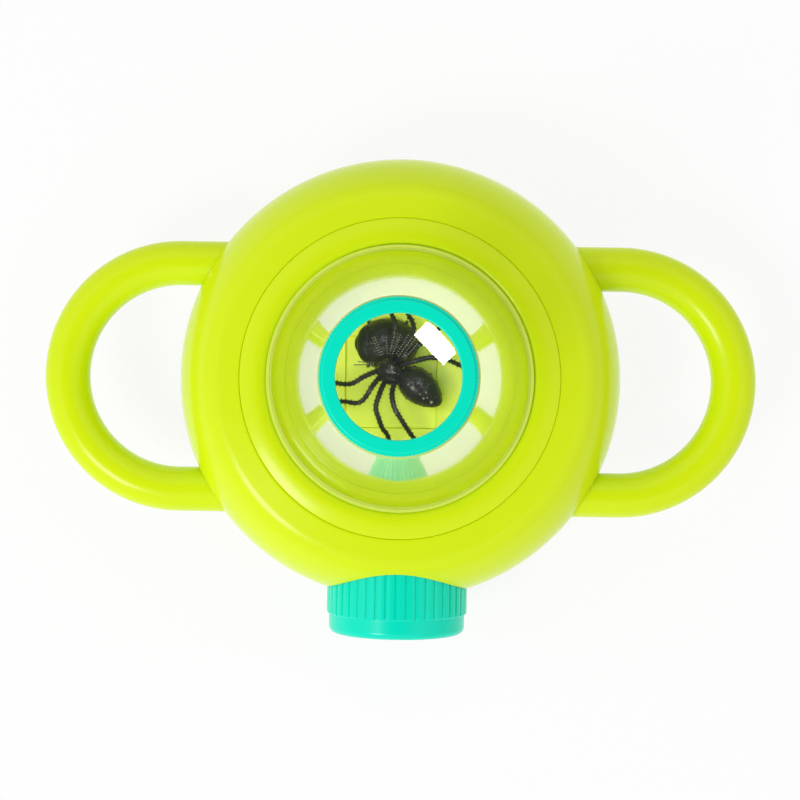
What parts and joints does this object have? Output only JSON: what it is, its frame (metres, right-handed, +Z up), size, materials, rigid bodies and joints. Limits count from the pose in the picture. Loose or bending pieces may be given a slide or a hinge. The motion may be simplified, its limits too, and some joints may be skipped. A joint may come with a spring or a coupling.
{
  "type": "bug catcher jar",
  "caption": "Child's bug catcher: hollow doughnut body with loop handles, clear tapered viewing jar with a magnifier screw cap, and a ribbed screw cap on the side port.",
  "frame": {"origin": "middle of the base, on the surface that the body stands on", "axes": "+Z up along the jar's axis, -Y out of the side port, handles along X"},
  "size_m": [0.2428, 0.162, 0.1402],
  "materials": {
    "lime_plastic": "satin moulded plastic, lime",
    "teal_plastic": "satin moulded plastic, teal",
    "clear_plastic": "clear polished plastic",
    "soft_seal": "pale green silicone rubber",
    "pale_foam": "white closed-cell foam",
    "zinc_steel": "zinc-plated steel",
    "black_toy_plastic": "glossy black soft plastic"
  },
  "bodies": {
    "body": {"lower_shell": "lime_plastic", "upper_shell": "lime_plastic", "collar_ring": "lime_plastic", "jar_gasket": "soft_seal", "viewing_jar": "clear_plastic", "chamber_bowl": "lime_plastic", "floor_panel": "lime_plastic", "side_neck": "lime_plastic", "neck_gasket": "soft_seal", "handle_left": "lime_plastic", "handle_right": "lime_plastic", "shell_screws": "zinc_steel", "collar_screws": "zinc_steel", "toy_spider": "black_toy_plastic", "toy_beetle": "black_toy_plastic"},
    "side_cap_seal": {"side_cap_liner": "pale_foam"},
    "side_screw_cap": {"side_cap": "teal_plastic", "vent_screen": "soft_seal"},
    "lens_seal": {"lens_cap_seal": "soft_seal"},
    "lens_screw_cap": {"lens_cap": "teal_plastic", "magnifier_lens": "clear_plastic", "lens_retainer": "teal_plastic"}
  },
  "joints": [
    {"name": "side_cap_travel", "type": "slide", "parent": "body", "child": "side_cap_seal", "axis": [0, -1, 0], "range_m": [0, 0.0241]},
    {"name": "side_cap_turn", "type": "hinge", "parent": "side_cap_seal", "child": "side_screw_cap", "pos_m": [0, -0.075, 0.032], "axis": [0, -1, 0], "range_deg": [0, 720]},
    {"name": "lens_cap_travel", "type": "slide", "parent": "body", "child": "lens_seal", "axis": [0, 0, 1], "range_m": [0, 0.0121]},
    {"name": "lens_cap_turn", "type": "hinge", "parent": "lens_seal", "child": "lens_screw_cap", "pos_m": [0, 0, 0.128], "axis": [0, 0, 1], "range_deg": [0, 720]}
  ],
  "couplings": [
    {"joint": "side_cap_travel", "follows": "side_cap_turn", "m_per_rad": 0.0019099},
    {"joint": "lens_cap_travel", "follows": "lens_cap_turn", "m_per_rad": 0.00095493}
  ]
}
